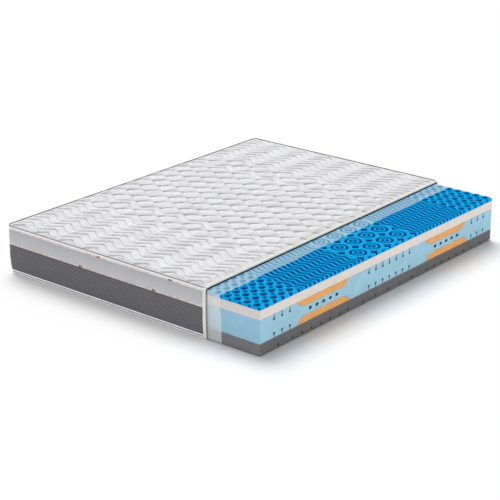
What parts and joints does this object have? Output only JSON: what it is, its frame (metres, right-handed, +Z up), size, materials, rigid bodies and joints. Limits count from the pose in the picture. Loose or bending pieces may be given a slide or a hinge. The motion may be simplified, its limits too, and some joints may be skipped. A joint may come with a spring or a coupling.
{
  "type": "memory foam mattress",
  "caption": "Zoned memory foam mattress: layered foam core in a translucent liner and a quilted zip cover cut away on one long side.",
  "frame": {"origin": "on the floor under the middle of the mattress", "axes": "+Z up, +Y towards the head end, +X towards the long side where the core is bare"},
  "size_m": [1.5972, 1.9, 0.25],
  "materials": {
    "base_foam": "open-cell grey foam, matte",
    "core_foam": "open-cell light blue foam, matte",
    "insert_foam": "open-cell orange foam, matte",
    "comfort_foam": "fine white foam, matte",
    "memory_foam": "moulded blue memory foam, soft satin skin",
    "liner_film": "thin translucent fire sleeve",
    "quilt_knit": "white quilted knit, soft matte",
    "fibre_wadding": "loose white fibre",
    "backing_cloth": "thin non-woven",
    "grey_piping": "corded grey tape",
    "white_cloth": "plain white weave",
    "trim_ribbon": "woven ribbon with a dashed stripe",
    "light_mesh": "light grey mesh knit",
    "dark_mesh": "dark grey spacer mesh",
    "zip_tape": "grey woven zip tape",
    "zip_nylon": "moulded nylon coil",
    "base_cloth": "plain non-slip knit",
    "binding_tape": "white woven binding tape",
    "zip_metal": "die-cast, satin nickel"
  },
  "bodies": {
    "core": {"base_foam": "base_foam", "core_foam": "core_foam", "foot_upper_insert": "insert_foam", "foot_lower_insert": "insert_foam", "head_upper_insert": "insert_foam", "head_lower_insert": "insert_foam", "comfort_foam": "comfort_foam", "memory_foam_top": "memory_foam", "inner_liner": "liner_film"},
    "cover": {"quilted_top_panel": "quilt_knit", "quilt_fibre_wadding": "fibre_wadding", "quilt_backing_cloth": "backing_cloth", "top_piping": "grey_piping", "upper_gusset": "white_cloth", "upper_trim_ribbon": "trim_ribbon", "light_mesh_band": "light_mesh", "lower_trim_ribbon": "trim_ribbon", "dark_mesh_band": "dark_mesh", "border_wadding": "fibre_wadding", "upper_welt": "white_cloth", "zip_upper_tape": "zip_tape", "zip_chain": "zip_nylon", "zip_lower_tape": "zip_tape", "lower_welt": "white_cloth", "base_panel": "base_cloth", "cut_edge_binding": "binding_tape"},
    "zip_slider": {"zip_slider": "zip_metal"},
    "zip_pull": {"zip_pull_tab": "zip_metal"}
  },
  "joints": [
    {"name": "cover_draw", "type": "slide", "parent": "core", "child": "cover", "axis": [-1, 0, 0], "range_m": [0, 1.3]},
    {"name": "zip_slider_travel", "type": "slide", "parent": "cover", "child": "zip_slider", "axis": [0, -1, 0], "range_m": [0, 1.72]},
    {"name": "zip_pull_swing", "type": "hinge", "parent": "zip_slider", "child": "zip_pull", "pos_m": [-0.795, 0.86, 0.0102], "axis": [0, 0, 1], "range_deg": [-175, 0]}
  ]
}
